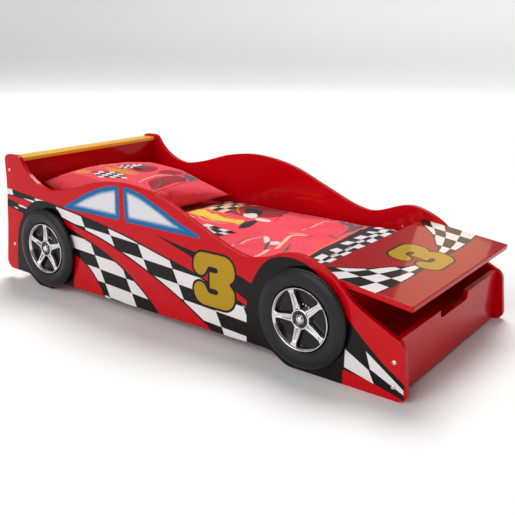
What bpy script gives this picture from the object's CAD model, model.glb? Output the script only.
import math
import random

import bmesh
import bpy
import numpy as np
from mathutils import Matrix, Vector
from mathutils.geometry import delaunay_2d_cdt


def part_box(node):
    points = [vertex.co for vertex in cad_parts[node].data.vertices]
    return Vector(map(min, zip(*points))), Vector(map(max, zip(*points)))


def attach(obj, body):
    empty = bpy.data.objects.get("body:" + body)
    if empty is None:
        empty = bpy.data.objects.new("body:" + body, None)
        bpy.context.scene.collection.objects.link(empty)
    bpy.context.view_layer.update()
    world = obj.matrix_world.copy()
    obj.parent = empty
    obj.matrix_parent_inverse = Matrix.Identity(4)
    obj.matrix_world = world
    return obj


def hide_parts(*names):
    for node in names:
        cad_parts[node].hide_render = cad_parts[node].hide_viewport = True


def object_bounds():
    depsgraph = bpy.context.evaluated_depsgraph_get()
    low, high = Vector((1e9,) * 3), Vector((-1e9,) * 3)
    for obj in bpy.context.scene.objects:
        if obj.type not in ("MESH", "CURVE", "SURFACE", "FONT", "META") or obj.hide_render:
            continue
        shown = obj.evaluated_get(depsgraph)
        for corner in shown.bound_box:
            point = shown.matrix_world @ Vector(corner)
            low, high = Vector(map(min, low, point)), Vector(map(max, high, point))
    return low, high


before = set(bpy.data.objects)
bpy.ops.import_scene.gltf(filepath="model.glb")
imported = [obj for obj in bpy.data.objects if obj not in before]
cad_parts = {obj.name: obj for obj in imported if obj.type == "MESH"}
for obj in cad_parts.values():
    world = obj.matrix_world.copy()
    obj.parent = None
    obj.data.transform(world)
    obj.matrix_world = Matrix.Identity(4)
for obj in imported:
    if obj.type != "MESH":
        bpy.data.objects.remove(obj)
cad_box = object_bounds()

# Flat outlines and prints are drawn in millimetres; the scene is in metres.
MM = 0.001

# Printed shapes are placed from the upper rear edge of the side panels, which
# stands ahead of the lower rear corner by the tail.
TAIL = 30
ART_X = cad_box[0].x / MM + TAIL
RIGHT, LEFT = -1, 1
SIDES = {"right": RIGHT, "left": LEFT}


# ---------------------------------------------------------------- materials

def srgb(r, g, b):
    """Linear colour of an 8-bit one."""
    linear = [c / 255 / 12.92 if c <= 10 else ((c / 255 + 0.055) / 1.055) ** 2.4 for c in (r, g, b)]
    return (*linear, 1.0)


def darker(colour, share):
    return (*[c * (1 - share) for c in colour[:3]], 1.0)


class Shader:
    """A material round one Principled shader, built node by node."""

    def __init__(self, name, **sockets):
        self.material = bpy.data.materials.new(name)
        self.material.use_nodes = True
        self.tree = self.material.node_tree
        self.surface = self.tree.nodes["Principled BSDF"]
        self.place = self.add("ShaderNodeTexCoord").outputs["Object"]
        for socket, value in sockets.items():
            self.set(socket.replace("_", " "), value)

    def set(self, socket, value):
        self.plug(self.surface.inputs[socket], value)

    def plug(self, socket, value):
        if isinstance(value, bpy.types.NodeSocket):
            self.tree.links.new(value, socket)
        else:
            socket.default_value = value

    def add(self, kind, inputs=None, **settings):
        node = self.tree.nodes.new(kind)
        for name, value in settings.items():
            setattr(node, name, value)
        for name, value in (inputs or {}).items():
            self.plug(node.inputs[name], value)
        return node

    def noise(self, scale, detail=2.0, stretch=(1, 1, 1), place=None):
        """Cloudy grey from 0 to 1 with scale blotches to the metre."""
        vector = place or self.place
        if stretch != (1, 1, 1):
            vector = self.add("ShaderNodeMapping", {"Vector": vector, "Scale": stretch}).outputs[0]
        settings = {"Vector": vector, "Scale": scale, "Detail": detail}
        return self.add("ShaderNodeTexNoise", settings).outputs["Fac"]

    def waves(self, pitch, direction, distortion=0.0):
        """Stripes of that pitch in metres across the direction X, Y or Z."""
        inputs = {"Vector": self.place, "Scale": 0.314 / pitch, "Distortion": distortion}
        node = self.add("ShaderNodeTexWave", inputs, wave_type="BANDS", bands_direction=direction)
        return node.outputs["Fac"]

    def mapped(self, value, low, high, start=0.0, end=1.0):
        inputs = {0: value, 1: start, 2: end, 3: low, 4: high}
        node = self.add("ShaderNodeMapRange")
        for index, given in inputs.items():
            self.plug(node.inputs[index], given)
        return node.outputs[0]

    def math(self, operation, a, b=0.0):
        node = self.add("ShaderNodeMath", operation=operation)
        self.plug(node.inputs[0], a)
        self.plug(node.inputs[1], b)
        return node.outputs[0]

    def blend(self, share, a, b):
        """Colour that goes from a to b as share goes from 0 to 1."""
        node = self.add("ShaderNodeMix", data_type="RGBA")
        for socket, value in (("Factor", share), ("A", a), ("B", b)):
            self.plug(next(s for s in node.inputs if s.name == socket and s.enabled), value)
        return next(s for s in node.outputs if s.enabled)

    def bump(self, height, distance, coat=False):
        inputs = {"Height": height, "Distance": distance, "Strength": 1.0}
        normal = self.add("ShaderNodeBump", inputs).outputs[0]
        self.set("Normal", normal)
        if coat:
            self.set("Coat Normal", normal)


def coated(name, gloss):
    """Shader of a surface under a clear top coat with fine orange peel."""
    s = Shader(name, Coat_Weight=gloss, Coat_Roughness=0.03, Coat_IOR=1.5, Specular_IOR_Level=0.05)
    s.set("Roughness", s.mapped(s.noise(60, 3), 0.28, 0.38))
    s.bump(s.noise(260, 1.5), 0.000035, coat=True)
    return s


def lacquer(name, colour, gloss=0.3):
    """Sprayed lacquer, slightly cloudy."""
    s = coated(name, gloss)
    s.set("Base Color", s.blend(s.noise(5, 3), darker(colour, 0.07), colour))
    return s.material


def airbrushed(name, rim, centre):
    """Print that is sprayed from a coloured rim to a pale centre."""
    s = coated(name, 0.3)
    tone = s.add("ShaderNodeAttribute", attribute_name="tone").outputs["Fac"]
    speckle = s.mapped(s.noise(700, 1), -0.12, 0.12, 0.3, 0.7)
    edge = s.add("ShaderNodeMapRange", interpolation_type="SMOOTHSTEP")
    for index, value in enumerate((s.math("ADD", tone, speckle), 0.4, 0.86, 0.0, 1.0)):
        s.plug(edge.inputs[index], value)
    s.set("Base Color", s.blend(edge.outputs[0], rim, centre))
    return s.material


def cotton(name, colour, shade=0.16, sheen=0.12):
    """Plain-woven cotton: two crossing thread waves, slubs and soft mottling."""
    s = Shader(name, Specular_IOR_Level=0.2, Sheen_Weight=sheen, Sheen_Roughness=0.5)
    threads = s.math("ADD", s.waves(0.0016, "X", 0.6), s.waves(0.0016, "Y", 0.6))
    threads = s.math("ADD", threads, s.waves(0.0018, "Z", 0.6))
    slubs = s.noise(90, 4, (1, 5, 1))
    mottled = s.math("ADD", s.math("MULTIPLY", threads, 0.22), s.math("MULTIPLY", slubs, 0.7))
    s.set("Base Color", s.blend(mottled, darker(colour, shade), colour))
    s.set("Roughness", s.mapped(slubs, 0.82, 0.94))
    s.bump(s.math("ADD", s.math("MULTIPLY", threads, 0.5), s.noise(160, 3)), 0.00045)
    return s.material


def moulded(name, colour, rough=(0.3, 0.42), grain=0.00005, coat=0.0):
    """Moulded plastic with a fine sparked grain."""
    s = Shader(name, Specular_IOR_Level=0.3, Coat_Weight=coat, Coat_Roughness=0.08)
    s.set("Base Color", s.blend(s.noise(30, 3), darker(colour, 0.25), colour))
    s.set("Roughness", s.mapped(s.noise(120, 3), *rough))
    s.bump(s.noise(1400, 2), grain)
    return s.material


def metal(name, colour, rough=(0.06, 0.14), ripple=0.00002):
    """Plated metal: near-mirror with faint ripples and smears."""
    s = Shader(name, Metallic=1.0)
    s.set("Base Color", s.blend(s.noise(45, 2), darker(colour, 0.08), colour))
    s.set("Roughness", s.mapped(s.noise(70, 4), *rough))
    s.bump(s.noise(220, 2), ripple)
    return s.material


def timber(name, pale, dark, along):
    """Planed softwood with growth rings stretched along the board."""
    s = Shader(name, Specular_IOR_Level=0.3)
    stretch = {"X": (1, 16, 16), "Y": (16, 1, 16)}[along]
    rings = s.noise(4, 4, stretch)
    bands = s.math("PINGPONG", s.math("MULTIPLY", rings, 9.0), 1.0)
    pores = s.noise(60, 3, stretch)
    grain = s.math("ADD", s.math("MULTIPLY", bands, 0.6), s.math("MULTIPLY", pores, 0.5))
    s.set("Base Color", s.blend(grain, pale, dark))
    s.set("Roughness", s.mapped(pores, 0.5, 0.7))
    s.bump(grain, 0.0002)
    return s.material


RED = lacquer("red_lacquer", srgb(194, 0, 14))
HOOD_RED = lacquer("hood_lacquer", srgb(160, 0, 9), 0.32)
YELLOW = lacquer("yellow_lacquer", srgb(255, 190, 50), 0.5)
BLACK = lacquer("print_black", srgb(20, 12, 14))
WHITE = lacquer("print_white", srgb(228, 222, 222))
GOLD = lacquer("print_gold", srgb(176, 138, 18))
WINDOW = airbrushed("print_window", srgb(0, 99, 154), srgb(214, 212, 216))
TYRE = moulded("tyre_plastic", srgb(25, 24, 27), (0.34, 0.44))
DISH = moulded("dish_plastic", srgb(16, 11, 13), (0.2, 0.3))
CHROME = metal("bright_plating", (0.74, 0.71, 0.72, 1), (0.05, 0.12))
CUP = moulded("hub_plastic", srgb(22, 22, 25), (0.12, 0.2), coat=0.6)
NICKEL = metal("nickel_plating", (0.74, 0.70, 0.63, 1), (0.18, 0.3))
ZINC = metal("zinc_plating", (0.70, 0.66, 0.55, 1), (0.28, 0.45))
PINE = timber("pine_across", srgb(224, 186, 132), srgb(193, 145, 88), "Y")
RAIL_PINE = timber("pine_along", srgb(224, 186, 132), srgb(193, 145, 88), "X")
BEECH = timber("beech", srgb(214, 166, 112), srgb(188, 134, 84), "Y")
WEBBING = cotton("webbing", srgb(226, 224, 214), 0.3)

CLOTH = {
    "coral": cotton("cloth_coral", srgb(252, 74, 92)),
    "crimson": cotton("cloth_crimson", srgb(168, 28, 38)),
    "rose": cotton("cloth_rose", srgb(226, 48, 64)),
    "black": cotton("cloth_black", srgb(34, 28, 32), 0.3),
    "white": cotton("cloth_white", srgb(236, 226, 226), 0.1),
    "grey": cotton("cloth_grey", srgb(98, 96, 108), 0.2),
    "yellow": cotton("cloth_yellow", srgb(246, 214, 74), 0.14),
    "amber": cotton("cloth_amber", srgb(226, 150, 40), 0.14),
    "cream": cotton("cloth_cream", srgb(244, 206, 168), 0.12),
}


# ------------------------------------------------------------ mesh helpers

def put(name, data):
    """A new object of the scene with that mesh, camera or light."""
    thing = bpy.data.objects.new(name, data)
    bpy.context.scene.collection.objects.link(thing)
    return thing


def add_piece(name, points, faces, materials, slot, smooth=True, indices=None):
    """A mesh piece that rides on the bed."""
    mesh = bpy.data.meshes.new(name)
    mesh.from_pydata([tuple(p) for p in points], [], faces)
    for material in materials:
        mesh.materials.append(material)
    if indices is not None:
        mesh.polygons.foreach_set("material_index", indices)
    mesh.polygons.foreach_set("use_smooth", [smooth] * len(mesh.polygons))
    mesh.update()
    piece = put(name, mesh)
    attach(piece, "root")
    return piece


def slots_of(paints, *first):
    """Materials without repeats, and each paint's number among them."""
    materials = list(dict.fromkeys([*first, *paints]))
    return materials, [materials.index(p) for p in paints]


def face_outwards(piece):
    shape = bmesh.new()
    shape.from_mesh(piece.data)
    bmesh.ops.recalc_face_normals(shape, faces=shape.faces)
    shape.to_mesh(piece.data)
    shape.free()


def finish_shape(piece, node, sharp):
    """Turns the faces out, creases edges past an angle and takes the CAD node's place."""
    face_outwards(piece)
    piece.data.set_sharp_from_angle(angle=math.radians(sharp))
    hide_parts(node)


def soften(node, material, width):
    """Rounds the edges of a CAD board and gives it its material."""
    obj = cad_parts[node]
    mesh = obj.data
    if "custom_normal" in mesh.attributes:
        mesh.attributes.remove(mesh.attributes["custom_normal"])
    mesh.polygons.foreach_set("use_smooth", [True] * len(mesh.polygons))
    weld = obj.modifiers.new("weld", "WELD")
    weld.merge_threshold = 0.00002
    flat = obj.modifiers.new("flat", "DECIMATE")
    flat.decimate_type = "DISSOLVE"
    flat.angle_limit = math.radians(0.5)
    edge = obj.modifiers.new("edge", "BEVEL")
    edge.width = width
    edge.segments = 3
    edge.limit_method = "ANGLE"
    edge.angle_limit = math.radians(50)
    edge.use_clamp_overlap = False
    edge.harden_normals = True
    finish_node(node, material)


def finish_node(node, material):
    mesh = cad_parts[node].data
    for index in range(max(1, len(mesh.materials))):
        if index < len(mesh.materials):
            mesh.materials[index] = material
        else:
            mesh.materials.append(material)


def cad_face(node, direction):
    """Largest outline, in order, of the CAD node's flat face that looks that way."""
    shape = bmesh.new()
    shape.from_mesh(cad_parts[node].data)
    bmesh.ops.remove_doubles(shape, verts=shape.verts, dist=0.00001)
    shape.faces.ensure_lookup_table()
    direction = Vector(direction).normalized()
    facing = [f for f in shape.faces if f.normal.dot(direction) > 0.98]
    biggest = max(facing, key=lambda f: f.calc_area())
    normal = biggest.normal.copy()
    level = biggest.verts[0].co.dot(normal)
    flat = {
        f for f in facing
        if f.normal.dot(normal) > 0.9999 and abs(f.verts[0].co.dot(normal) - level) < 0.0001
    }
    following = {}
    for f in flat:
        for loop in f.loops:
            if sum(other in flat for other in loop.edge.link_faces) == 1:
                following[loop.vert.index] = loop.link_loop_next.vert.index
    places = {v.index: v.co.copy() for v in shape.verts}
    shape.free()
    rings = []
    while following:
        start = next(iter(following))
        ring = [start]
        while following.get(ring[-1]) is not None:
            ring.append(following.pop(ring[-1]))
        rings.append(ring[:-1])
    def length(ring):
        return sum((places[a] - places[b]).length for a, b in zip(ring, ring[1:] + ring[:1]))
    return [places[i] for i in max(rings, key=length)], normal


def turned_left(ring):
    """The ring, counter-clockwise."""
    area = sum(a[0] * b[1] - b[0] * a[1] for a, b in zip(ring, ring[1:] + ring[:1]))
    return list(ring) if area > 0 else list(reversed(ring))


def outward(ring):
    """Outward direction at each point of a counter-clockwise ring, as long as a mitre."""
    result = []
    for i, here in enumerate(ring):
        before, after = Vector(ring[i - 1]), Vector(ring[(i + 1) % len(ring)])
        a = (Vector(here) - before).normalized()
        b = (after - Vector(here)).normalized()
        n = Vector((a.y + b.y, -a.x - b.x))
        n = n.normalized() if n.length > 1e-9 else Vector((a.y, -a.x))
        result.append(n / max(0.5, n.dot(Vector((a.y, -a.x)))))
    return result


def grown(ring, distance):
    """The ring moved outwards by a distance, or inwards where it is negative."""
    ring = turned_left(ring)
    return [
        (p[0] + n.x * distance, p[1] + n.y * distance)
        for p, n in zip(ring, outward(ring))
    ]


def curve(points, steps=6):
    """Smooth curve through the points."""
    result = []
    padded = [points[0], *points, points[-1]]
    for a, b, c, d in zip(padded, padded[1:], padded[2:], padded[3:]):
        for k in range(steps):
            t = k / steps
            result.append(tuple(
                0.5 * (2 * b[i] + (c[i] - a[i]) * t + (2 * a[i] - 5 * b[i] + 4 * c[i] - d[i]) * t**2
                       + (3 * b[i] - a[i] - 3 * c[i] + d[i]) * t**3)
                for i in (0, 1)
            ))
    return [*result, tuple(points[-1])]


def rounded(corners, shift=0.0, step=15):
    """Ring with arcs at its corners, each (x, y, radius), grown by shift."""
    sharp = [Vector(c[:2]) for c in corners]
    anticlockwise = turned_left([tuple(p) for p in sharp]) == [tuple(p) for p in sharp]
    if not anticlockwise:
        corners, sharp = list(reversed(corners)), list(reversed(sharp))
    moved = [p + n * shift for p, n in zip(sharp, outward(sharp))]
    ring = []
    for i, corner in enumerate(moved):
        before = (moved[i - 1] - corner).normalized()
        after = (moved[(i + 1) % len(moved)] - corner).normalized()
        turn = math.pi - before.angle(after)
        convex = before.x * after.y - before.y * after.x < 0
        radius = corners[i][2] + (shift if convex else -shift)
        if radius < 0.3 or turn < 0.05:
            ring.append(tuple(corner))
            continue
        reach = radius * math.tan(turn / 2)
        centre = corner + (before + after).normalized() * radius / math.cos(turn / 2)
        first, last = corner + before * reach - centre, corner + after * reach - centre
        pieces = max(2, round(math.degrees(turn) / step))
        swing = first.angle_signed(last) * -1
        for k in range(pieces + 1):
            angle = swing * k / pieces
            c, s = math.cos(angle), math.sin(angle)
            ring.append((centre.x + first.x * c - first.y * s,
                         centre.y + first.x * s + first.y * c))
    return ring


def all_within(ring, places):
    """Which of the flat places lie inside the ring."""
    inside = np.zeros(len(places), bool)
    x, y = places[:, 0], places[:, 1]
    for (ax, ay), (bx, by) in zip(ring, ring[1:] + ring[:1]):
        if ay != by:
            inside ^= ((ay > y) != (by > y)) & (x < ax + (y - ay) * (bx - ax) / (by - ay))
    return inside


class Artwork:
    """Printed shapes on a flat face, painted in the order they are added."""

    def __init__(self, base):
        self.base = base
        self.rings = []
        self.paints = []
        self.loose = []

    def ring(self, points):
        self.rings.append(turned_left(points))
        return len(self.rings)

    def paint(self, material, points, inside=None):
        """Paints a shape, only where it lies inside the ring with that number."""
        self.paints.append((self.ring(points), inside, material))

    def cut(self, outline):
        """Triangles inside the outline: points, corners and the material of each."""
        rings = [turned_left(outline), *self.rings]
        points, faces = [], []
        for ring in rings:
            faces.append(list(range(len(points), len(points) + len(ring))))
            points.extend(Vector(p) for p in ring)
        points.extend(Vector(p) for p in self.loose)
        made, _, triangles, _, _, _ = delaunay_2d_cdt(points, [], faces, 1, 1e-4)
        corners = np.array(triangles)
        centres = np.array([tuple(p) for p in made])[corners].mean(axis=1)
        inside = [all_within(ring, centres) for ring in rings]
        colours = [self.base]
        painted = np.zeros(len(corners), int)
        for number, mask, material in self.paints:
            if material not in colours:
                colours.append(material)
            here = inside[number] & (inside[mask] if mask else True)
            painted[here] = colours.index(material)
        corners, painted = corners[inside[0]], painted[inside[0]]
        used = np.unique(corners)
        place = np.zeros(len(made), int)
        place[used] = np.arange(len(used))
        kept = [[int(i) for i in place[triple]] for triple in corners]
        return [made[i] for i in used], kept, [colours[i] for i in painted]


def border(triangles):
    """Corner numbers round the edge of a sheet of triangles, in order."""
    edges = {}
    for corners in triangles:
        for a, b in zip(corners, corners[1:] + corners[:1]):
            edges[a, b] = True
    following = {a: b for a, b in edges if (b, a) not in edges}
    ring = [next(iter(following))]
    while following[ring[-1]] != ring[0]:
        ring.append(following[ring[-1]])
    return ring


def plate(name, node, outline, thick, to_frame, art, edge, slot, radius=2.2, steps=4):
    """A board with rounded edges and artwork on its front face.

    The outline is flat, in millimetres, and to_frame puts a point of it at a
    depth behind the front face into the frame."""
    face = grown(outline, -radius)
    points, triangles, paints = art.cut(face)
    ring = border(triangles)
    flat = [points[i] for i in ring]
    out = outward(flat)
    origin = to_frame(0, 0, 0)
    across = to_frame(1, 0, 0) - origin
    up = to_frame(0, 1, 0) - origin
    front = (origin - to_frame(0, 0, 1)).normalized()
    across, up = across.normalized(), up.normalized()

    places = [to_frame(p.x, p.y, 0) for p in points]
    normals = [front] * len(points)
    faces = [list(t) for t in triangles]
    materials, indices = slots_of(paints, edge)

    def add_ring(grow, depth, tilt):
        first = len(places)
        for p, n in zip(flat, out):
            places.append(to_frame(p.x + n.x * grow, p.y + n.y * grow, depth))
            side = (across * n.x + up * n.y).normalized()
            normals.append((front * math.cos(tilt) + side * math.sin(tilt)).normalized())
        return list(range(first, len(places)))

    rings = [ring]
    for k in range(1, steps + 1):
        a = math.pi / 2 * k / steps
        rings.append(add_ring(radius * math.sin(a), radius * (1 - math.cos(a)), a))
    for k in range(0, steps + 1):
        a = math.pi / 2 * (1 + k / steps)
        depth = thick - radius * (1 + math.cos(a))
        rings.append(add_ring(radius * math.sin(a), depth, a))
    beside = {}
    for corners, index in zip(triangles, indices):
        for a, b in zip(corners, corners[1:] + corners[:1]):
            beside[a, b] = index
    for number, (a, b) in enumerate(zip(rings, rings[1:])):
        for i in range(len(a)):
            j = (i + 1) % len(a)
            faces.append([a[j], a[i], b[i], b[j]])
            # The print wraps round the first half of the rounded edge.
            indices.append(beside[ring[i], ring[j]] if number < steps / 2 else 0)
    back = rings[-1]
    back_points = [Vector((p.x, p.y)) for p in flat]
    _, _, back_triangles, sources, _, _ = delaunay_2d_cdt(
        back_points, [], [list(range(len(back_points)))], 1, 1e-4)
    made_from = [back[s[0]] for s in sources]
    for t in back_triangles:
        faces.append([made_from[i] for i in reversed(t)])
        indices.append(0)

    piece = add_piece(name, places, faces, materials, slot, indices=indices)
    mesh = piece.data
    handed = across.cross(up).dot(front)
    if handed < 0:
        mesh.flip_normals()
    mesh.normals_split_custom_set_from_vertices([tuple(n) for n in normals])
    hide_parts(node)
    return piece


def lathe(profile, turns=96, radius_of=None):
    """Points and faces of a profile of (radius, height) turned round an axis.

    radius_of(radius, height, number) may change the radius at each turn."""
    points, rings, faces = [], [], []
    for r, h in profile:
        if r < 1e-6:
            points.append((0, 0, h))
            rings.append([len(points) - 1] * turns)
            continue
        first = len(points)
        for k in range(turns):
            a = 2 * math.pi * k / turns
            here = radius_of(r, h, k) if radius_of else r
            points.append((here * math.cos(a), here * math.sin(a), h))
        rings.append(list(range(first, first + turns)))
    for a, b in zip(rings, rings[1:]):
        for k in range(turns):
            n = (k + 1) % turns
            corners = []
            for i in (a[k], a[n], b[n], b[k]):
                if i not in corners:
                    corners.append(i)
            if len(corners) > 2:
                faces.append(corners)
    return points, faces


def joined(*parts):
    """One list of points and faces from several."""
    points, faces = [], []
    for more_points, more_faces in parts:
        first = len(points)
        points.extend(more_points)
        faces.extend([first + i for i in f] for f in more_faces)
    return points, faces


def placed(part, matrix):
    points, faces = part
    return [matrix @ Vector(p) for p in points], faces


def onto_panel(x, y, z, side):
    """Puts millimetres round the Z axis at a place, with Z out of that side of the bed."""
    return (Matrix.Translation((x, y, z)) @ Matrix.Rotation(-side * math.pi / 2, 4, "X")
            @ Matrix.Scale(MM, 4))


def loose_boxes(node):
    """Lowest and highest corner of each separate solid of a CAD node."""
    shape = bmesh.new()
    shape.from_mesh(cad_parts[node].data)
    bmesh.ops.remove_doubles(shape, verts=shape.verts, dist=0.00001)
    boxes, seen = [], set()
    for start in shape.verts:
        if start in seen:
            continue
        group, waiting = [], [start]
        seen.add(start)
        while waiting:
            v = waiting.pop()
            group.append(v.co.copy())
            for e in v.link_edges:
                other = e.other_vert(v)
                if other not in seen:
                    seen.add(other)
                    waiting.append(other)
        boxes.append(tuple(
            Vector([pick(p[i] for p in group) for i in range(3)]) for pick in (min, max)))
    shape.free()
    return boxes


# ------------------------------------------------------------------ camera

CAMERA_AT = Vector((1.644, -2.062, 0.981))
CAMERA_YAW = math.radians(36.91)
CAMERA_PITCH = math.radians(13.51)
CAMERA_ROLL = math.radians(0.21)
CAMERA_LENS = 51.4
CAMERA_SHIFT_Y = -0.1


def make_camera():
    camera = put("camera", bpy.data.cameras.new("camera"))
    turn = (
        Matrix.Rotation(CAMERA_YAW, 4, "Z")
        @ Matrix.Rotation(math.pi / 2 - CAMERA_PITCH, 4, "X")
        @ Matrix.Rotation(CAMERA_ROLL, 4, "Z")
    )
    camera.matrix_world = Matrix.Translation(CAMERA_AT) @ turn
    camera.data.lens = CAMERA_LENS
    camera.data.sensor_width = 36
    camera.data.shift_y = CAMERA_SHIFT_Y
    camera.data.clip_end = 200
    bpy.context.scene.camera = camera


make_camera()


# ----------------------------------------------------- side panels' artwork

# The column lines lean back as they rise, and the row lines fall to the front.
CHECK_L, CHECK_H = 132, 47
CHECK_X, CHECK_Z = 176, 323       # where column 0 and row 0 start
CHECK_LEAN, CHECK_FALL = 0.5, 0.055
CHECK_FALL_FROM = 600
CHECK_COLUMNS, CHECK_ROWS = range(1, 9), range(-1, 8)


def check_cell(column, row):
    """One cell of the slanting check pattern, with its four corners."""
    def corner(c, r):
        drop = CHECK_H * r
        x = CHECK_X + CHECK_L * c + CHECK_LEAN * (drop - CHECK_FALL * CHECK_FALL_FROM)
        x /= 1 - CHECK_LEAN * CHECK_FALL
        return (x, CHECK_Z - drop - CHECK_FALL * (x - CHECK_FALL_FROM))
    return [corner(column, row), corner(column, row + 1),
            corner(column + 1, row + 1), corner(column + 1, row)]


UPPER_BAND = (
    curve([(-60, 375), (0, 370), (100, 362), (200, 352), (300, 343), (400, 332), (500, 318),
           (600, 303), (700, 285), (800, 262), (900, 240), (985, 220), (1159, 169), (1206, 153)])
    + [(1206, 20), (1088, 20)]
    + curve([(1062, 36), (950, 98), (850, 145), (750, 185), (650, 220), (550, 250), (450, 270),
             (345, 292), (160, 325), (110, 336), (0, 340), (-60, 342)])
)
LOWER_BAND = (
    curve([(-60, 338), (0, 328), (100, 309), (135, 303), (250, 290), (360, 268), (450, 245),
           (550, 213), (650, 170), (750, 106), (827, 36), (845, 18)])
    + curve([(560, 18), (548, 36), (530, 68), (500, 102), (470, 130), (430, 155), (392, 172),
             (250, 240), (100, 277), (0, 296), (-60, 306)])
)
SPIKE = (
    curve([(808, 320), (900, 303), (1000, 288), (1160, 250), (1225, 230)])
    + curve([(1206, 170), (1155, 193), (1060, 232), (985, 265), (950, 278), (900, 292), (850, 307)])
)
REAR_ARCH = curve([
    (36, -20), (37, 36), (45, 130), (60, 210), (100, 278), (135, 316), (175, 338), (220, 347),
    (270, 344), (310, 326), (340, 293), (370, 255), (388, 205), (392, 160), (388, 100), (380, 36),
    (378, -20)
])
FRONT_ARCH = (
    [(1200, -20), (1200, 172)]
    + curve([(1219, 234), (1232, 261), (1250, 290), (1277, 318), (1309, 334), (1345, 341),
             (1382, 340), (1418, 331), (1455, 311), (1486, 284), (1518, 243), (1543, 215),
             (1582, 175), (1623, 138), (1668, 100), (1705, 75), (1734, 56)])
    + [(1735, 11)]
    + curve([(1733, 11), (1690, 21), (1641, 33), (1592, 41), (1545, 47)])
    + [(1543, 40), (1543, -20)]
)
# Slivers of white that the bands carry behind the rear wheel.
SLIVERS = [
    [(-40, 369), (34, 367), (41, 345), (-40, 344)],
    [(102, 341), (130, 341), (166, 340), (174, 338), (179, 330), (163, 331), (130, 336)],
    [(174, 351), (189, 351), (219, 349), (238, 347), (225, 344), (181, 340)],
    [(69, 312), (89, 311), (136, 303), (129, 300), (93, 303), (73, 305)],
    [(36, 299), (60, 298), (68, 293), (57, 292)],
]
FLASHES = [
    [(1549, 110), (1548, 55), (1643, 32), (1625, 68)],
    [(1615, 121), (1630, 72), (1733, 26), (1732, 40)],
]
REAR_WINDOW = (
    curve([(343, 339), (370, 356), (400, 372), (450, 398), (500, 421), (550, 440), (600, 453),
           (630, 458.5)])
    + [(642, 457), (646.5, 450), (644, 346), (636, 338)]
)
FRONT_WINDOW = (
    [(668, 450), (672, 457)]
    + curve([(680, 459), (700, 458), (750, 447), (800, 428), (850, 408), (900, 385), (950, 366),
             (1000, 350), (1014, 341)])
    + [(1012, 337), (680, 337), (673, 344)]
)
NUMERAL = [
    (-84, 88, 42), (84, 88, 45), (84, 22, 28), (62, 0, 2), (84, -22, 28), (84, -88, 45),
    (-84, -88, 45), (-84, -13, 27), (-42, -13, 22), (-22, -45, 12), (17, -45, 9), (17, -27, 9),
    (-17, -27, 3), (-17, 27, 3), (17, 27, 9), (17, 45, 9), (-22, 45, 12), (-42, 10, 22),
    (-84, 10, 27)
]
NUMERAL_AT = (1069, 208)
NUMERAL_EDGE = 8
BAND_MARGIN = 6.5      # black left round the white checks
# The windows fade over this depth, which is read at the points of a fine grid.
WINDOW_FADE = 32
WINDOW_GRID, WINDOW_GRID_MARGIN = 7.0, 3


def paint_numeral(art, centre, right, up):
    """The numeral with its dark edge, for a viewer with those directions."""
    for material, shift in ((BLACK, NUMERAL_EDGE), (GOLD, 0)):
        ring = rounded(NUMERAL, shift)
        art.paint(material, [
            (centre[0] + right[0] * x + up[0] * y, centre[1] + right[1] * x + up[1] * y)
            for x, y in ring
        ])


def distance_to(ring, point):
    """How far a point is from the nearest edge of a ring."""
    nearest = 1e9
    p = Vector(point)
    for a, b in zip(ring, ring[1:] + ring[:1]):
        a, b = Vector(a), Vector(b)
        along = b - a
        share = max(0, min(1, (p - a).dot(along) / max(along.length_squared, 1e-9)))
        nearest = min(nearest, (a + along * share - p).length)
    return nearest


def touches(cell, ring, steps=12):
    """Whether any part of a four-sided cell lies inside the ring."""
    a, b, c, d = (Vector(p) for p in cell)
    shares = [i / steps for i in range(steps + 1)]
    places = [a.lerp(b, t).lerp(d.lerp(c, t), u) for t in shares for u in shares]
    return all_within(ring, np.array([tuple(p) for p in places])).any()


def side_artwork(side):
    art = Artwork(RED)
    for band in (UPPER_BAND, LOWER_BAND):
        mask = art.ring(grown(band, -BAND_MARGIN))
        art.paint(BLACK, band)
        for column in CHECK_COLUMNS:
            for row in CHECK_ROWS:
                cell = check_cell(column, row)
                if (column + row) % 2 and touches(cell, art.rings[mask - 1]):
                    art.paint(WHITE, cell, inside=mask)
    art.paint(BLACK, SPIKE)
    for material, shapes in ((WHITE, SLIVERS), (BLACK, [REAR_ARCH, FRONT_ARCH]), (WHITE, FLASHES)):
        for points in shapes:
            art.paint(material, points)
    for window in (REAR_WINDOW, FRONT_WINDOW):
        art.paint(WINDOW, window)
        xs, zs = zip(*window)
        places = [(float(x), float(z)) for x in np.arange(min(xs), max(xs), WINDOW_GRID)
                  for z in np.arange(min(zs), max(zs), WINDOW_GRID)]
        for place, inside in zip(places, all_within(window, np.array(places))):
            if inside and distance_to(window, place) > WINDOW_GRID_MARGIN:
                art.loose.append(place)
    paint_numeral(art, NUMERAL_AT, (-side, 0), (0, 1))
    return art


def give_tone(piece, to_flat):
    """Stores at each point how far inside a window it is, for the airbrushed print."""
    mesh = piece.data
    tone = mesh.attributes.new("tone", "FLOAT", "POINT")
    flat = np.array([to_flat(v.co) for v in mesh.vertices])
    values = [0.0] * len(flat)
    for window in (REAR_WINDOW, FRONT_WINDOW):
        for i in np.flatnonzero(all_within(window, flat)):
            values[i] = min(1.0, distance_to(window, flat[i]) / WINDOW_FADE)
    tone.data.foreach_set("value", values)


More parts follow.
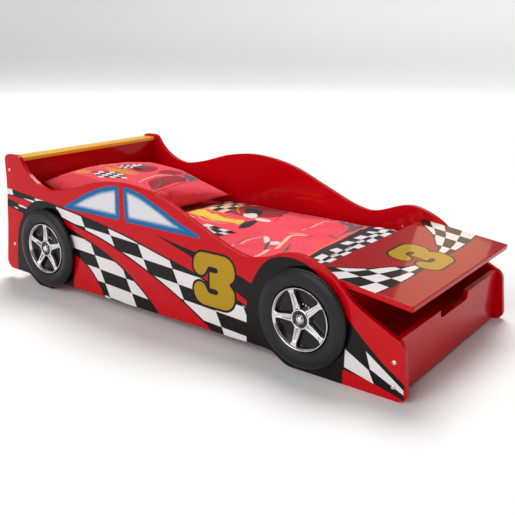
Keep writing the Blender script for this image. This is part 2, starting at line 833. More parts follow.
def make_side_panel(word, side):
    node = f"side_panel_{word}"
    low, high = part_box(node)
    outer = (high.y if side > 0 else low.y)
    thick = (high.y - low.y) / MM
    corners, _ = cad_face(node, (0, side, 0))
    outline = [(p.x / MM - ART_X, p.z / MM) for p in corners]

    def to_frame(x, z, depth):
        return Vector(((x + ART_X) * MM, outer - side * depth * MM, z * MM))

    piece = plate(f"{word}_side_panel", node, outline, thick, to_frame, side_artwork(side), RED,
                  "red_lacquer")
    give_tone(piece, lambda p: (p.x / MM - ART_X, p.z / MM))


for word, side in SIDES.items():
    make_side_panel(word, side)


# -------------------------------------------------------------------- hood

HOOD_TOP = [(345, -8), (333, -2), (305, 24), (269, 59), (238, 88), (194, 118), (155, 140),
            (116, 168), (72, 184)]
HOOD_BOTTOM = [(366, 206), (361, 208), (269, 217), (194, 221), (116, 218), (77, 218), (72, 216)]
HOOD_COLUMNS = [367, 302, 238, 150, 80]
HOOD_ROWS = [
    [(367, 28), (333, 48), (269, 92), (194, 125), (116, 168)],
    [(367, 82), (333, 100), (269, 132), (194, 156), (116, 178)],
    [(367, 150), (333, 160), (269, 176), (194, 192), (116, 201)],
]
HOOD_NUMERAL_S = 164
HOOD_MARGIN = 6
HOOD_SIDE = 372        # just past the side edge


def level(points, y):
    """Height of a line of points at y, straight between them."""
    points = sorted(points)
    if y <= points[0][0]:
        return points[0][1]
    for (a, p), (b, q) in zip(points, points[1:]):
        if y <= b:
            return p + (q - p) * (y - a) / (b - a)
    return points[-1][1]


def hood_artwork():
    art = Artwork(HOOD_RED)
    rows = [HOOD_TOP, *HOOD_ROWS, HOOD_BOTTOM]
    for side in SIDES.values():
        band = curve([(side * y, s) for y, s in HOOD_TOP])
        band += [(side * y, s) for y, s in reversed(HOOD_BOTTOM)]
        band += [(side * HOOD_SIDE, 208), (side * HOOD_SIDE, -12)]
        mask = art.ring(grown(band, -HOOD_MARGIN))
        art.paint(BLACK, band)
        for column, (wide, narrow) in enumerate(zip(HOOD_COLUMNS, HOOD_COLUMNS[1:])):
            ys = np.linspace(wide, narrow, 5)
            for row, (above, below) in enumerate(zip(rows, rows[1:])):
                if (column + row) % 2:
                    cell = [(side * y, level(above, y)) for y in ys]
                    cell += [(side * y, level(below, y)) for y in reversed(ys)]
                    art.paint(WHITE, cell, inside=mask)
    paint_numeral(art, (0, HOOD_NUMERAL_S), (1, 0), (0, -1))
    return art


def make_hood():
    corners, normal = cad_face("hood", (0.1, 0, 1))
    down = Vector((normal.z, 0, -normal.x))
    rear = min(corners, key=lambda p: p.dot(down))
    origin = Vector((rear.x, 0, rear.z))
    outline = [(p.y / MM, (p - origin).dot(down) / MM) for p in corners]
    inner, _ = cad_face("hood", (-0.1, 0, -1))
    thick = abs((inner[0] - origin).dot(normal)) / MM

    def to_frame(y, s, depth):
        return origin + Vector((0, y * MM, 0)) + down * s * MM - normal * depth * MM

    plate("hood_plate", "hood", outline, thick, to_frame, hood_artwork(), RED, "red_lacquer",
          radius=3)


make_hood()


# ------------------------------------------------------ boards, slats, tapes

# How a node's name begins, its material and the rounding of its edges, if any.
FINISHES = [
    ("headboard_shelf", YELLOW, 0.001), ("headboard", RED, 0.0018), ("back_board", RED, 0.0018),
    ("foot_wall", RED, 0.0018), ("toy_box", RED, 0.0018), ("hood_block", RED, 0.001),
    ("slat_rail", RAIL_PINE, 0.0015), ("slat_tape", WEBBING, 0), ("slat_screws", ZINC, 0),
    ("slat_", PINE, 0.0012), ("dowels", BEECH, 0), ("barrel_nuts", ZINC, 0),
    ("rail_screws", ZINC, 0), ("hood_screws", ZINC, 0), ("wheel_screws", ZINC, 0),
]

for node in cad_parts:
    for beginning, material, rounding in FINISHES:
        if node.startswith(beginning):
            if rounding:
                soften(node, material, rounding)
            else:
                finish_node(node, material)
            break


# ------------------------------------------------------------------- bolts

BOLT_HEAD_R, BOLT_HEAD_H = 7.0, 3.5
BOLT_SHANK_R, BOLT_L = 3.0, 58.0
BOLT_SOCKET_R = 2.4
BOLT_TURNS = 36


def bolt_part():
    """Domed bolt with a hexagon socket, its head's underside at the origin."""
    profile = [(0, -BOLT_L), (BOLT_SHANK_R, -BOLT_L), (BOLT_SHANK_R, 0), (BOLT_HEAD_R, 0)]
    for k in range(1, 6):
        a = math.radians(15 * k)
        profile.append((BOLT_HEAD_R * math.cos(a) + 0.2 * k,
                        0.5 + (BOLT_HEAD_H - 0.5) * math.sin(a)))
    profile += [(BOLT_SOCKET_R + 0.2, BOLT_HEAD_H), (BOLT_SOCKET_R, BOLT_HEAD_H - 0.2),
                (BOLT_SOCKET_R - 0.1, 1.2), (0, 1.0)]

    def hexagon(r, h, k):
        if abs(r - BOLT_SOCKET_R) > 0.15:
            return r
        a = (2 * math.pi * k / BOLT_TURNS) % (math.pi / 3) - math.pi / 6
        return r / math.cos(a)

    return lathe(profile, BOLT_TURNS, hexagon)


def make_bolts():
    parts = []
    for low, high in loose_boxes("panel_bolts"):
        side = LEFT if low.y + high.y > 0 else RIGHT
        head = (high.y if side == LEFT else low.y) - side * BOLT_HEAD_H * MM
        centre = (low + high) / 2
        parts.append(placed(bolt_part(), onto_panel(centre.x, head, centre.z, side)))
    piece = add_piece("bolt_set", *joined(*parts), [NICKEL], "nickel")
    finish_shape(piece, "panel_bolts", 35)


make_bolts()


# ------------------------------------------------------------------ wheels

TREAD_BLOCKS = 80
TREAD_FROM, TREAD_DEPTH = 143.3, 1.3
# The rims of two wheels are fixed turned by this many degrees.
FRONT_TURN = 22
TURNED = {"front_right", "rear_left"}
SPOKES = 5
DISH_R = 99            # the glossier dish reaches this far out
BEADS_AT, BEADS_APART, BEADS_R = 72, 13, 45
WHEEL_SHARP = 38


def tyre_part():
    """Black cover: ribbed shoulder, smooth wall with two fine beads, and dish."""
    profile = [
        (140, 0.2), (144, 2), (148.4, 7), (150.6, 12), (151, 15), (150.4, 18), (148.6, 20.6),
        (146, 22.8), (143.2, 24.4), (142.4, 24.5), (141.4, 25.3), (138, 26.9), (132, 28.6),
        (126, 29.5), (119, 29.3), (113, 28.2), (107, 26.4), (102.5, 24.6), (99.6, 22.6),
        (98.2, 20), (97.4, 14), (96.8, 8), (95, 5.6), (92, 5), (80, 5), (60, 5), (40, 5), (24, 5)
    ]

    def tread(r, h, k):
        groove = k % 4 == 0 and r > TREAD_FROM and h > 1
        return r - min(TREAD_DEPTH, (r - TREAD_FROM) * 0.5) if groove else r

    return lathe(profile, TREAD_BLOCKS * 4, tread)


def spoke_part():
    """Twin-bar spoke along +X from the hub ring to the rim."""
    stations = [27, 29, 34, 45, 58, 70, 77, 80, 90]
    points, faces = [], []
    for x in stations:
        share = (x - stations[0]) / (stations[-1] - stations[0])
        # Narrower toward the rim, flared where it joins, and grooved between its two bars.
        wide = 12.4 - 4.4 * min(1, share / 0.84) + 4.2 * max(0, (share - 0.84) / 0.16)
        top = 21.5 - 1.8 * math.sin(math.pi * min(1, share * 1.1))
        groove = 4.6 * max(0.0, min(1.0, (80 - x) / 4, (x - 28) / 4)) + 0.02
        section = [
            (-wide, 9), (-wide, top - 2.4), (-wide + 0.8, top - 0.7), (-wide + 2.4, top),
            (-wide * 0.5, top), (-wide * 0.38, top - 0.7 * min(1, groove)),
            (-wide * 0.28, top - groove), (wide * 0.28, top - groove),
            (wide * 0.38, top - 0.7 * min(1, groove)), (wide * 0.5, top),
            (wide - 2.4, top), (wide - 0.8, top - 0.7), (wide, top - 2.4), (wide, 9)
        ]
        points.extend((x, y, h) for y, h in section)
    count = len(section)
    for i in range(len(stations) - 1):
        for k in range(count):
            n = (k + 1) % count
            a, b = i * count, (i + 1) * count
            faces.append([a + k, b + k, b + n, a + n])
    faces.append(list(range(count)))
    faces.append([len(points) - count + k for k in reversed(range(count))])
    return points, faces


def rim_part():
    ring = lathe([
        (88.8, 6), (95.4, 6), (95.8, 14), (96, 20), (96.2, 23), (95.8, 25), (94.8, 25.9),
        (93.4, 25.8), (92.2, 24.8), (91.6, 23), (90.6, 21.6), (89.4, 20.4), (88.6, 18),
        (88.6, 8), (88.8, 6)
    ], 144)
    hub_ring = lathe([
        (25.3, 5.4), (31.4, 5.4), (31.6, 12), (31.4, 18.6), (30.6, 20.8), (29, 22), (27.2, 22),
        (25.9, 21.2), (25.3, 19.8), (25.3, 5.4)
    ], 72)
    spokes = [
        placed(spoke_part(), Matrix.Rotation(math.radians(90 + i * 360 / SPOKES), 4, "Z"))
        for i in range(SPOKES)
    ]
    return joined(ring, hub_ring, *spokes)


def hub_part():
    return lathe([
        (0, 5.2), (24.6, 5.2), (25, 6), (25, 20), (24.6, 21.4), (23.6, 22.2), (22, 22.2),
        (20.6, 21.2), (18.4, 19.4), (16, 18.4), (14.6, 18), (8, 18), (0, 18)
    ], 72)


def dome_part():
    profile = [(0, 18.2), (13.6, 18.2), (13.8, 19), (13.6, 20), (13, 20.3)]
    profile += [(12.6 * math.cos(math.radians(a)), 20.3 + 8.9 * math.sin(math.radians(a)))
                for a in range(0, 90, 9)]
    profile.append((0, 29.2))
    return lathe(profile, 60)


def bead_part(turn):
    """Three small bright heads on the dish between two spokes."""
    parts = []
    for angle in (-BEADS_APART, 0, BEADS_APART):
        a = math.radians(turn + angle)
        bead = lathe([(0, 4.8), (3, 4.8), (3.2, 6), (3, 9), (2.2, 10.4), (0, 11)], 16)
        centre = (BEADS_R * math.cos(a), BEADS_R * math.sin(a), 0)
        parts.append(placed(bead, Matrix.Translation(centre)))
    return joined(*parts)


def make_wheels():
    domes = []
    for corner in ("front_right", "front_left", "rear_right", "rear_left"):
        low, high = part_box(f"tyre_{corner}")
        side = LEFT if corner.endswith("left") else RIGHT
        face = low.y if side > 0 else high.y
        onto = onto_panel((low.x + high.x) / 2, face, (low.z + high.z) / 2, side)
        turn = Matrix.Rotation(math.radians(FRONT_TURN if corner in TURNED else 0), 4, "Z")
        tyre = add_piece(f"{corner}_tyre", *placed(tyre_part(), onto), [TYRE, DISH],
                         "black_plastic")
        for face in tyre.data.polygons:
            near = onto.inverted() @ face.center
            face.material_index = int(math.hypot(near.x, near.y) < DISH_R)
        beads = bead_part(BEADS_AT if side == RIGHT else 180 - BEADS_AT)
        rim = add_piece(f"{corner}_rim",
                        *joined(placed(rim_part(), onto @ turn), placed(beads, onto)), [CHROME],
                        "chromed_plastic")
        hub = add_piece(f"{corner}_hub", *placed(hub_part(), onto), [CUP], "hub_plastic")
        for piece, node in ((tyre, "tyre"), (rim, "rim"), (hub, "hub")):
            finish_shape(piece, f"{node}_{corner}", WHEEL_SHARP)
        domes.append(placed(dome_part(), onto))
    piece = add_piece("hub_dome_set", *joined(*domes), [CHROME], "chromed_plastic")
    finish_shape(piece, "hub_domes", WHEEL_SHARP)


make_wheels()


# ----------------------------------------------------------- soft furnishing

class Sheet:
    """A grid of points that a flat cloth takes up, read smoothly at any place.

    Flat places are in millimetres, from 0 to length and 0 to width."""

    def __init__(self, places, length, width):
        self.places = np.asarray(places, float)
        self.length, self.width = length, width

    def at(self, u, v):
        rows, columns = self.places.shape[:2]
        total = np.zeros(3)
        for row, a in self.near(u / self.length, rows):
            for column, b in self.near(v / self.width, columns):
                total += a * b * self.places[row, column]
        return total

    @staticmethod
    def near(share, count):
        """The four nearest grid lines, each with its weight in a smooth curve."""
        x = min(max(share, 0), 1) * (count - 1)
        first = min(int(x), count - 2)
        t = x - first
        weights = (-0.5 * t + t**2 - 0.5 * t**3, 1 - 2.5 * t**2 + 1.5 * t**3,
                   0.5 * t + 2 * t**2 - 1.5 * t**3, -0.5 * t**2 + 0.5 * t**3)
        return [(min(max(first + k, 0), count - 1), w) for k, w in enumerate(weights, -1)]


def pad_mesh(rows, columns, length, width, gap, belly=0.0):
    """Two flat grids a gap apart, joined along their edges.

    The belly is how far the corners stand in from the middles of the sides, as a
    share. Returns the points, the faces and the point numbers of both grids."""
    points, faces = [], []
    top = np.zeros((rows + 1, columns + 1), int)
    bottom = np.zeros((rows + 1, columns + 1), int)
    for i in range(rows + 1):
        for j in range(columns + 1):
            u, v = i / rows, j / columns
            rim = min(1.0, 6 * min(u, 1 - u), 6 * min(v, 1 - v))
            for grid, sign in ((top, 1), (bottom, -1)):
                if sign < 0 and rim == 0:
                    grid[i, j] = top[i, j]
                    continue
                grid[i, j] = len(points)
                x, y = 2 * u - 1, 2 * v - 1
                narrow, short = math.sqrt(1 - belly * y * y), math.sqrt(1 - belly * x * x)
                points.append((x * narrow * length / 2, y * short * width / 2,
                               sign * gap * rim / 2))
    for grid, flip in ((top, False), (bottom, True)):
        for i in range(rows):
            for j in range(columns):
                corners = [grid[i, j], grid[i + 1, j], grid[i + 1, j + 1], grid[i, j + 1]]
                faces.append([int(c) for c in (reversed(corners) if flip else corners)])
    return points, faces, top, bottom


SIM_FRAMES = 22
CLOTH_STIFFNESS = 18
CLOTH_SHEAR = 8


def simulate(points, faces, pressure, spare=0.0, bending=0.5, pinned=()):
    """Cloth simulation of a closed pad, in metres; returns the settled points.

    spare is the share by which the cloth is larger than the shape it starts in,
    which makes it crease."""
    mesh = bpy.data.meshes.new("cloth_trial")
    mesh.from_pydata(points, [], faces)
    trial = put("cloth_trial", mesh)
    cloth = trial.modifiers.new("cloth", "CLOTH")
    s = cloth.settings
    s.quality = 5
    s.mass = 0.3
    s.tension_stiffness = s.compression_stiffness = CLOTH_STIFFNESS
    s.shear_stiffness = CLOTH_SHEAR
    s.bending_stiffness = bending
    s.use_pressure = True
    s.uniform_pressure_force = pressure
    s.effector_weights.gravity = 0
    s.shrink_min = -spare
    s.air_damping = 6
    cloth.collision_settings.use_collision = False
    if len(pinned):
        group = trial.vertex_groups.new(name="pinned")
        group.add([int(i) for i in pinned], 1.0, "REPLACE")
        s.vertex_group_mass = "pinned"
    cloth.point_cache.frame_start = 1
    cloth.point_cache.frame_end = SIM_FRAMES
    scene = bpy.context.scene
    for number in range(1, SIM_FRAMES + 1):
        scene.frame_set(number)
    seen = trial.evaluated_get(bpy.context.evaluated_depsgraph_get())
    settled = np.zeros(len(points) * 3, np.float32)
    seen.data.vertices.foreach_get("co", settled)
    scene.frame_set(1)
    bpy.data.objects.remove(trial)
    bpy.data.meshes.remove(mesh)
    return settled.reshape(-1, 3).astype(float)


def covered_pad(name, node, slot, top, bottom, art, length, width, step=9.0):
    """A stuffed piece whose upper sheet carries a print; both sheets share their edge."""
    outline = [(u, 0.0) for u in np.arange(0, length, step)]
    outline += [(length, v) for v in np.arange(0, width, step)]
    outline += [(u, width) for u in np.arange(length, 0, -step)]
    outline += [(0.0, v) for v in np.arange(width, 0, -step)]
    for u in np.arange(step, length - step / 2, step):
        for v in np.arange(step, width - step / 2, step):
            art.loose.append((float(u), float(v)))
    points, triangles, paints = art.cut(outline)
    ring = border(triangles)
    places = [top.at(p.x, p.y) for p in points]
    faces = [list(t) for t in triangles]
    materials, indices = slots_of(paints, art.base)
    under = Artwork(art.base)
    under.loose = list(art.loose)
    edge = [tuple(points[i]) for i in ring]
    low_points, low_triangles, _ = under.cut(edge)
    known = {(round(x, 2), round(y, 2)): i for (x, y), i in zip(edge, ring)}
    numbers = []
    for p in low_points:
        shared = known.get((round(p.x, 2), round(p.y, 2)))
        if shared is None:
            shared = len(places)
            places.append(bottom.at(p.x, p.y))
        numbers.append(shared)
    for t in low_triangles:
        faces.append([numbers[i] for i in reversed(t)])
        indices.append(0)
    piece = add_piece(name, places, faces, materials, slot, indices=indices)
    face_outwards(piece)
    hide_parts(node)
    return piece


def stroke(points, width):
    """A printed line of that width along a smooth path, tapered at its ends."""
    path = [Vector(p) for p in curve(points, 5)]
    left, right = [], []
    for i, here in enumerate(path):
        along = (path[min(i + 1, len(path) - 1)] - path[max(i - 1, 0)]).normalized()
        side = Vector((-along.y, along.x))
        share = i / (len(path) - 1)
        half = width / 2 * (0.25 + 0.75 * math.sin(math.pi * min(max(share, 0.0), 1.0)) ** 0.5)
        left.append(tuple(here + side * half))
        right.append(tuple(here - side * half))
    return left + right[::-1]


def blob(centre, size, turn=0.0, bump=0.08, seed=0):
    """A printed oval with a slightly uneven edge."""
    source = random.Random(seed)
    phases = [source.uniform(0, 2 * math.pi) for _ in range(3)]
    c, s = math.cos(math.radians(turn)), math.sin(math.radians(turn))
    ring = []
    for k in range(36):
        a = 2 * math.pi * k / 36
        r = 1 + bump * sum(math.sin((n + 2) * a + p) / (n + 1) for n, p in enumerate(phases))
        x, y = size[0] * r * math.cos(a), size[1] * r * math.sin(a)
        ring.append((centre[0] + x * c - y * s, centre[1] + x * s + y * c))
    return ring


class ClothPrint(Artwork):
    """Printed shapes on cloth, in the colours of CLOTH."""

    def __init__(self):
        super().__init__(CLOTH["coral"])

    def shape(self, colour, *points):
        self.paint(CLOTH[colour], points)

    def round_shape(self, colour, *points):
        """A closed smooth shape through the points."""
        self.paint(CLOTH[colour], curve([*points, points[0]]))

    def line(self, colour, width, *points):
        self.paint(CLOTH[colour], stroke(points, width))

    def spot(self, colour, centre, size, turn, seed):
        self.paint(CLOTH[colour], blob(centre, size, turn, seed=seed))

    def checks(self, dark, pale, corner, across, up, columns, rows):
        """A patch of checks on a parallelogram."""
        corner, across, up = Vector(corner), Vector(across), Vector(up)
        whole = (corner, corner + across, corner + across + up, corner + up)
        self.shape(dark, *[tuple(p) for p in whole])
        b, c = across / columns, up / rows
        for i in range(columns):
            for j in range(rows):
                if (i + j) % 2:
                    a = corner + across * (i / columns) + up * (j / rows)
                    self.shape(pale, *[tuple(p) for p in (a, a + b, a + b + c, a + c)])


# Pillow: drawn flat with u from the headboard to the foot and v from right to left.
PILLOW_L, PILLOW_W = 400.0, 604.0
PILLOW_RISE, PILLOW_DROP = 64.0, 48.0
PILLOW_AT = (313, 0, 346)
PILLOW_TILT, PILLOW_TURN = 16, -9
PILLOW_POSE = (
    Matrix.Translation(((PILLOW_AT[0] + ART_X) * MM, PILLOW_AT[1] * MM, PILLOW_AT[2] * MM))
    @ Matrix.Rotation(math.radians(PILLOW_TURN), 4, "Z")
    @ Matrix.Rotation(math.radians(PILLOW_TILT), 4, "Y")
)
PILLOW_GRID = (64, 96)
PILLOW_BELLY = 0.11
FAR_SAG, NEAR_SAG = 44, 30          # of the two rear corners
CORNER_PULL = (12, 52)              # of the far front corner, along and across
PLEAT_RISE = 2.6
PLEATS_AT, PLEATS_REACH = 0.11, 0.1  # from the front edge, as shares of the length


def shape_pillow(cloth):
    """Sags both rear corners, pulls out the far front one and pleats the front roll."""
    back = np.clip(0.5 - cloth[:, 0] / (PILLOW_L * MM), 0, 1)
    far = np.clip(0.5 + cloth[:, 1] / (PILLOW_W * MM), 0, 1)
    cloth[:, 2] -= (FAR_SAG * back * far**2 + NEAR_SAG * back**2 * (1 - far) ** 3) * MM
    pull = (1 - back) ** 2 * far**4
    across = cloth[:, 1] / MM
    pleat = np.sin(across / 9 + 2.2 * np.sin(across / 37)) * np.sin(across / 61 + 1) ** 2
    roll = np.clip(1 - np.abs(back - PLEATS_AT) / PLEATS_REACH, 0, 1)
    cloth[:, 2] += PLEAT_RISE * MM * pleat * roll * (cloth[:, 2] > 0)
    cloth[:, 0] += CORNER_PULL[0] * MM * pull
    cloth[:, 1] += CORNER_PULL[1] * MM * pull


def pillow_artwork():
    art = ClothPrint()
    art.shape("rose", (0, 0), (400, 0), (400, 40), (330, 120), (210, 150), (60, 96))
    # Checked patch, dash and small checks on the near half.
    art.checks("black", "white", (108, 166), (62, -6), (50, 94), 4, 5)
    art.round_shape("amber", (57, 121), (70, 116), (98, 126), (114, 150), (102, 162), (84, 158),
                    (66, 140))
    art.checks("black", "white", (94, 290), (36, -4), (6, 112), 3, 8)
    # Swoosh with its loop.
    art.line("amber", 9, (98, 214), (72, 224), (64, 250), (68, 276), (92, 284), (120, 282))
    art.round_shape("amber", (96, 240), (118, 256), (134, 284), (160, 300), (192, 318), (200, 306),
                    (184, 276), (156, 250), (132, 232), (108, 226))
    # Dark badge with grey and white marks.
    art.round_shape("crimson", (148, 318), (124, 350), (118, 400), (138, 446), (166, 432),
                    (182, 390), (180, 344))
    art.spot("black", (150, 352), (12, 26), -10, 3)
    art.spot("grey", (126, 392), (9, 34), 12, 4)
    art.spot("white", (112, 376), (6, 28), 14, 5)
    # Two dark patches and the lines over them.
    art.round_shape("crimson", (202, 404), (180, 440), (180, 490), (204, 520), (226, 500),
                    (232, 446))
    art.round_shape("crimson", (268, 312), (246, 372), (240, 430), (250, 480), (292, 474),
                    (306, 400), (330, 300), (300, 296))
    art.line("cream", 5, (264, 270), (240, 330), (224, 392), (232, 456))
    art.line("grey", 6, (238, 360), (254, 370), (290, 352), (314, 322))
    art.line("grey", 7, (312, 326), (320, 300), (332, 280))
    art.shape("grey", (226, 500), (222, 540), (240, 524), (252, 548), (286, 540), (284, 512),
              (300, 486), (272, 496), (262, 470), (250, 500))
    art.line("black", 3, (352, 180), (350, 260), (338, 330), (322, 400), (306, 456), (286, 560))
    return art


def make_pillow():
    length, width = PILLOW_L * MM, PILLOW_W * MM
    points, faces, top, bottom = pad_mesh(*PILLOW_GRID, length, width, gap=0.016,
                                          belly=PILLOW_BELLY)
    settled = simulate(points, faces, pressure=5.0, spare=0.04, bending=0.08)
    for axis, size in enumerate((PILLOW_L, PILLOW_W, PILLOW_RISE + PILLOW_DROP)):
        low, high = settled[:, axis].min(), settled[:, axis].max()
        grow = min(1.6, size * MM / (high - low))
        settled[:, axis] = (settled[:, axis] - (low + high) / 2) * grow
    settled[:, 2] += (PILLOW_RISE - PILLOW_DROP) / 2 * MM
    shape_pillow(settled)
    settled = np.array([tuple(PILLOW_POSE @ Vector(p)) for p in settled])
    # It rests on the mattress and the quilt, and against the headboard.
    floor = np.where(settled[:, 0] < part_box("quilt")[0].x - 0.004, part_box("mattress")[1].z,
                     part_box("quilt")[1].z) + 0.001
    settled[:, 2] = np.maximum(settled[:, 2], floor)
    settled[:, 0] = np.maximum(settled[:, 0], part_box("headboard")[1].x + 0.0015)
    upper = Sheet(settled[top], PILLOW_L, PILLOW_W)
    lower = Sheet(settled[bottom], PILLOW_L, PILLOW_W)
    covered_pad("filled_pillow", "pillow", "pillow_cloth", upper, lower, pillow_artwork(),
                PILLOW_L, PILLOW_W, step=6.5)


make_pillow()

# Quilt: drawn flat with u from the pillow to the foot and v from right to left.
quilt_low, quilt_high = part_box("quilt")
QUILT_L = (quilt_high.x - quilt_low.x) / MM
QUILT_W = (quilt_high.y - quilt_low.y) / MM


QUILT_GRID = (124, 98)
PUFF_RISE = 1.5
FOLD_GAIN, FOLD_SUNK = 1.8, 5
FOLD_FADE, EDGE_FADE = 40, 50       # over which folds die out at their ends and at the edges
VALLEY_OFF, VALLEY_HALF = 26, 17    # a valley runs beside each fold
# Check of the band across the foot: along the bed, across it and its slant.
BAND_CHECK = (30, 44, 3)
# Long soft folds of the quilt: both ends, half width and height.
FOLDS = [
    ((150, 170), (330, 300), 16, 3.2), ((330, 250), (470, 400), 15, 3.4),
    ((430, 120), (570, 300), 17, 4.2), ((560, 130), (650, 290), 16, 4.6),
    ((640, 330), (712, 250), 13, 4.0), ((590, 420), (700, 500), 14, 4.0),
    ((480, 450), (630, 600), 15, 3.4), ((390, 560), (480, 690), 14, 3.0),
    ((230, 60), (420, 60), 18, 3.0), ((60, 330), (230, 560), 15, 2.6),
]


def quilt_artwork():
    art = ClothPrint()
    # Dark badge with a checked patch behind it.
    art.checks("black", "cream", (4, 520), (170, -14), (24, 184), 5, 4)
    art.round_shape("crimson", (190, 500), (152, 560), (146, 624), (176, 676), (250, 706),
                    (330, 694), (372, 640), (376, 574), (320, 530), (260, 500))
    art.line("amber", 7, (132, 640), (160, 588), (206, 546), (262, 516), (302, 509))
    art.line("amber", 6, (24, 529), (92, 506), (196, 468), (270, 450))
    art.line("black", 3, (388, 505), (381, 556), (362, 620), (344, 696))
    art.round_shape("black", (232, 548), (200, 590), (196, 632), (232, 640), (280, 600), (306, 552),
                    (290, 530))
    art.spot("white", (276, 524), (28, 30), 20, 12)
    art.spot("white", (344, 512), (30, 16), 12, 13)
    # Yellow streak with its outlines and dark end.
    art.shape("yellow", (4, 438), (22, 476), (46, 508), (112, 470), (216, 444), (270, 446),
              (292, 464), (314, 434), (318, 396), (296, 405), (254, 400), (205, 386), (104, 410),
              (26, 430))
    art.line("grey", 7, (2, 452), (14, 480), (40, 520))
    art.line("cream", 6, (36, 400), (110, 392), (200, 368), (280, 384))
    art.line("amber", 5, (60, 430), (140, 412), (220, 402), (300, 418))
    art.round_shape("black", (346, 360), (322, 410), (314, 452), (320, 494), (342, 476), (360, 420),
                    (360, 376))
    art.checks("white", "black", (206, 250), (150, -10), (20, 84), 4, 3)
    # Pale and grey lines over the plain part.
    art.line("cream", 6, (488, 140), (472, 190), (465, 240), (468, 292), (477, 342))
    art.line("grey", 4, (440, 300), (448, 250), (462, 210))
    art.shape("white", (476, 344), (500, 334), (522, 308), (520, 288), (492, 312))
    art.spot("white", (546, 286), (26, 20), 30, 14)
    art.shape("grey", (580, 204), (556, 226), (538, 262), (530, 290), (542, 286), (556, 250))
    art.line("cream", 12, (594, 60), (604, 110), (600, 165), (588, 237), (570, 320), (546, 386),
             (556, 416), (594, 428))
    art.line("cream", 5, (540, 471), (537, 539), (553, 595), (574, 676))
    art.line("cream", 6, (520, 420), (545, 434), (592, 436))
    art.line("grey", 8, (598, 404), (624, 446), (660, 462), (694, 458))
    art.line("grey", 10, (606, 70), (632, 115), (643, 177), (634, 240), (596, 322))
    # Grey flash beside the far edge.
    art.shape("grey", (584, 676), (602, 686), (616, 660), (640, 704), (668, 704), (660, 690),
              (644, 672), (664, 640), (672, 690), (690, 690), (694, 566), (678, 543), (684, 462),
              (666, 560), (656, 612), (630, 632), (622, 612))
    # Checked band across the foot.
    rear_edge = curve([(730, 4), (732, 150), (720, 306), (710, 444), (704, 572), (706, 710)])
    art.shape("black", *rear_edge, (860, 710), (860, 4))
    long, wide, slant = BAND_CHECK
    for column in range(16):
        for row in range(3):
            if (column + row) % 2:
                v = 7 + column * wide
                u = 746 + row * long - (12 if column > 8 else 0)
                art.shape("white", (u, v), (u + slant, v + wide), (u + slant + long, v + wide),
                          (u + long, v))
    art.line("amber", 4, (722, 40), (722, 236), (709, 352), (700, 450), (693, 563), (694, 700))
    return art


def quilt_folds(along, across):
    """Height that folds and soft puffs add at flat places, in millimetres."""
    lift = PUFF_RISE * np.sin(along / 31 + 1.4 * np.sin(across / 53))
    lift *= np.sin(across / 43 + along / 190)
    for (u0, v0), (u1, v1), half, height in FOLDS:
        reach = math.hypot(u1 - u0, v1 - v0)
        du, dv = (u1 - u0) / reach, (v1 - v0) / reach
        run = (along - u0) * du + (across - v0) * dv
        off = (across - v0) * du - (along - u0) * dv + 9 * np.sin(run / 37)
        fade = np.clip(run / FOLD_FADE, 0, 1) * np.clip((reach - run) / FOLD_FADE, 0, 1)
        ridge = np.exp(-(off / half) ** 2)
        valley = np.exp(-((off - VALLEY_OFF) / VALLEY_HALF) ** 2)
        lift += height * fade * (ridge - 0.8 * valley)
    edges = np.minimum(np.minimum(along, QUILT_L - along), np.minimum(across, QUILT_W - across))
    return (FOLD_GAIN * lift - FOLD_SUNK) * np.clip(edges / EDGE_FADE, 0, 1)


def make_quilt():
    points, faces, top, bottom = pad_mesh(*QUILT_GRID, QUILT_L * MM, QUILT_W * MM, gap=0.008)
    thick = quilt_high.z - quilt_low.z
    edge = {int(i) for i in (*top[0], *top[-1], *top[:, 0], *top[:, -1])}
    flat = {int(i) for i in bottom[1:-1, 1:-1].ravel()}
    settled = simulate(points, faces, pressure=1.8, spare=0.06, bending=0.12,
                       pinned=sorted(edge | flat))
    rise = settled[:, 2] - settled[:, 2].min()
    cap = np.quantile(rise, 0.995)
    settled[:, 2] = quilt_low.z + np.minimum(rise / cap, 1.12) * thick * 0.94
    folds = quilt_folds(settled[:, 0] / MM + QUILT_L / 2, settled[:, 1] / MM + QUILT_W / 2)
    settled[:, 2] += (rise > cap * 0.5) * folds * MM
    settled[:, 2] = np.clip(settled[:, 2], quilt_low.z, quilt_high.z + 0.003)
    settled[:, 0] += (quilt_low.x + quilt_high.x) / 2
    upper = Sheet(settled[top], QUILT_L, QUILT_W)
    lower = Sheet(settled[bottom], QUILT_L, QUILT_W)
    covered_pad("printed_quilt", "quilt", "quilt_cloth", upper, lower, quilt_artwork(),
                QUILT_L, QUILT_W)


make_quilt()


def make_mattress():
    """Foam block in a fitted sheet: full edges, soft corners and a slight crown."""
    low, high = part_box("mattress")
    size, centre = high - low, (low + high) / 2

    def rise(edge):
        return abs((edge.verts[0].co - edge.verts[1].co).z)

    shape = bmesh.new()
    bmesh.ops.create_cube(shape, size=1)
    bmesh.ops.scale(shape, vec=size, verts=shape.verts)
    uprights = [e for e in shape.edges if rise(e) > 0.01]
    bmesh.ops.bevel(shape, geom=uprights, offset=0.04, segments=6, affect="EDGES")
    rim = [e for e in shape.edges if e.calc_face_angle(0) > 1.2 and rise(e) < 0.001]
    bmesh.ops.bevel(shape, geom=rim, offset=0.022, segments=5, affect="EDGES", profile=0.6)
    bmesh.ops.triangulate(shape, faces=[f for f in shape.faces if len(f.verts) > 4])
    for v in shape.verts:
        v.co += centre
    shape.verts.index_update()
    points = [tuple(v.co) for v in shape.verts]
    faces = [[v.index for v in f.verts] for f in shape.faces]
    shape.free()
    piece = add_piece("mattress_in_sheet", points, faces, [CLOTH["rose"]], "mattress_cloth")
    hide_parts("mattress")


make_mattress()


# ------------------------------------------------------------ floor, lights

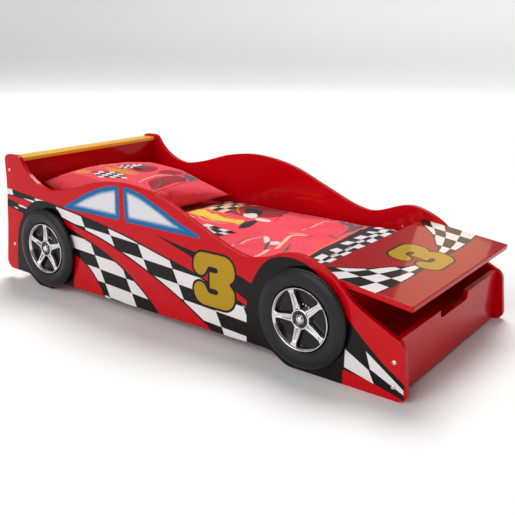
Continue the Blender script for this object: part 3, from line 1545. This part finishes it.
FLOOR_R, COVE_R = 9, 1.6      # metres
KEY = (2.4, 30, 122, 60)      # strength, spread, azimuth and height
FILL = (1.65, 50, -98, 32)
WORLD_LIGHT = 0.2


def make_floor():
    """Pale floor that curves up into a low wall all round."""
    profile = [(0, 0), (2, 0), (6, 0), (FLOOR_R, 0)]
    for degrees in range(10, 91, 10):
        a = math.radians(degrees)
        profile.append((FLOOR_R + COVE_R * math.sin(a), COVE_R * (1 - math.cos(a))))
    profile.append((FLOOR_R + COVE_R, COVE_R + 0.3))
    points, faces = lathe(profile, 96)
    mesh = bpy.data.meshes.new("studio_floor")
    # It lies just under the feet, which would flicker in the same plane.
    mesh.from_pydata([(x, y, z - 0.0004) for x, y, z in points], [], faces)
    mesh.polygons.foreach_set("use_smooth", [True] * len(mesh.polygons))
    s = Shader("studio_floor", Specular_IOR_Level=0.1)
    s.set("Base Color", s.blend(s.noise(0.4, 2), (0.86, 0.86, 0.86, 1), (0.9, 0.9, 0.9, 1)))
    s.set("Roughness", s.mapped(s.noise(2, 2), 0.7, 0.8))
    mesh.materials.append(s.material)
    put("studio_floor", mesh)


def add_light(name, kind, energy, place, target, colour=(1, 1, 1), **settings):
    data = bpy.data.lights.new(name, kind)
    data.energy, data.color = energy, colour
    for setting, value in settings.items():
        setattr(data, setting, value)
    light = put(name, data)
    light.location = place
    light.rotation_euler = (Vector(target) - light.location).to_track_quat("-Z", "Y").to_euler()
    light.visible_camera = False


def add_sun(name, strength, spread, azimuth, height):
    """Soft light from an azimuth (0 is +X, 90 is +Y) and a height above the floor."""
    a, h = math.radians(azimuth), math.radians(height)
    place = (4 * math.cos(a) * math.cos(h), 4 * math.sin(a) * math.cos(h), 4 * math.sin(h))
    add_light(name, "SUN", strength, place, (0, 0, 0), angle=math.radians(spread))


make_floor()
add_sun("key", *KEY)
add_sun("fill", *FILL)
# Tall warm window that the hood mirrors.
add_light("window_card", "AREA", 4.6, (0.045, 2.5, 1.68), (0.045, 0, 1.68), (1, 0.66, 0.42),
          shape="RECTANGLE", size=0.51, size_y=1.2)

world = bpy.data.worlds.new("studio")
world.use_nodes = True
world.node_tree.nodes["Background"].inputs["Color"].default_value = (1, 1, 1, 1)
world.node_tree.nodes["Background"].inputs["Strength"].default_value = WORLD_LIGHT
bpy.context.scene.world = world
bpy.context.scene.view_settings.view_transform = "Standard"
